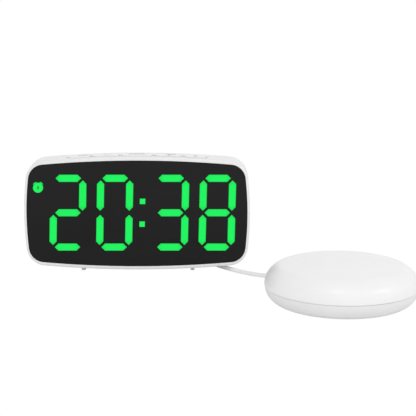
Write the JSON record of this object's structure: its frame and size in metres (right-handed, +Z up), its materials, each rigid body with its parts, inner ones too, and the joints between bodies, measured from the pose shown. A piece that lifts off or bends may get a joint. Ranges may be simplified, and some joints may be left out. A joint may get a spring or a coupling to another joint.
{
  "type": "alarm clock",
  "caption": "Digital alarm clock with a lit segment display and top buttons, joined by a cord to a round vibrating bed shaker.",
  "frame": {"origin": "on the table, under the middle of the box round the clock and the shaker, without the cord", "axes": "+Z up, the display faces -Y, the shaker is at the right front (+X, -Y)"},
  "size_m": [0.2682, 0.2423, 0.0836],
  "materials": {
    "white_case": "satin white moulded plastic",
    "grey_white_case": "satin pale grey moulded plastic",
    "smoked_lens": "glossy smoked black",
    "black_plastic": "matte black",
    "lit_segments": "green diffuser, lit",
    "led_chip": "small surface-mount lamps",
    "board_green": "green circuit board",
    "steel": "plated steel",
    "weight_metal": "brass",
    "grey_plastic": "grey",
    "speaker_cone": "black cone and frame",
    "rubber_grey": "matte grey rubber",
    "cord_white": "satin white PVC",
    "tie_black": "black wire tie"
  },
  "bodies": {
    "root": {"front_housing": "white_case", "rear_cover": "white_case", "display_lens": "smoked_lens", "display_mask": "black_plastic", "segment_diffusers": "lit_segments", "segment_leds": "led_chip", "display_board": "board_green", "display_board_screws": "steel", "display_ribbon": "grey_plastic", "tact_switches": "black_plastic", "key_board": "board_green", "key_board_screws": "steel", "key_cable": "grey_plastic", "main_board": "board_green", "main_board_screws": "steel", "board_parts": "black_plastic", "power_inlet": "black_plastic", "shaker_jack": "black_plastic", "speaker": "speaker_cone", "coin_cell": "steel", "battery_contacts": "steel", "case_screws": "steel", "rubber_feet": "rubber_grey", "puck_top_shell": "white_case", "puck_base_shell": "grey_white_case", "puck_screws": "steel", "puck_motor": "steel", "motor_clamp": "steel", "clamp_screws": "steel", "puck_pads": "rubber_grey", "cord_relief": "cord_white", "cord_run": "cord_white", "cord_coil": "cord_white", "coil_tie": "tie_black", "cord_lead": "cord_white", "plug_body": "cord_white", "plug_pin": "steel"},
    "alarm_key": {"alarm_button": "white_case", "alarm_plunger": "grey_plastic"},
    "minus_key": {"minus_button": "white_case", "minus_plunger": "grey_plastic"},
    "snooze_key": {"snooze_button": "white_case", "snooze_plunger": "grey_plastic"},
    "plus_key": {"plus_button": "white_case", "plus_plunger": "grey_plastic"},
    "light_key": {"light_button": "white_case", "light_plunger": "grey_plastic"},
    "battery_cover": {"battery_door": "white_case"},
    "shaker_rotor": {"motor_shaft": "steel", "eccentric_weight": "weight_metal"}
  },
  "joints": [
    {"name": "alarm_press", "type": "slide", "parent": "root", "child": "alarm_key", "axis": [0, 0, -1], "range_m": [0, 0.0007], "stiffness_N_per_m": 900, "springref_m": -0.0005},
    {"name": "minus_press", "type": "slide", "parent": "root", "child": "minus_key", "axis": [0, 0, -1], "range_m": [0, 0.0007], "stiffness_N_per_m": 900, "springref_m": -0.0005},
    {"name": "snooze_press", "type": "slide", "parent": "root", "child": "snooze_key", "axis": [0, 0, -1], "range_m": [0, 0.0007], "stiffness_N_per_m": 900, "springref_m": -0.0005},
    {"name": "plus_press", "type": "slide", "parent": "root", "child": "plus_key", "axis": [0, 0, -1], "range_m": [0, 0.0007], "stiffness_N_per_m": 900, "springref_m": -0.0005},
    {"name": "light_press", "type": "slide", "parent": "root", "child": "light_key", "axis": [0, 0, -1], "range_m": [0, 0.0007], "stiffness_N_per_m": 900, "springref_m": -0.0005},
    {"name": "battery_door_lift", "type": "slide", "parent": "root", "child": "battery_cover", "axis": [0, 1, 0], "range_m": [0, 0.012]},
    {"name": "rotor_spin", "type": "hinge", "parent": "root", "child": "shaker_rotor", "pos_m": [0.0841, -0.03845, 0.0152], "axis": [1, 0, 0], "continuous": true}
  ]
}
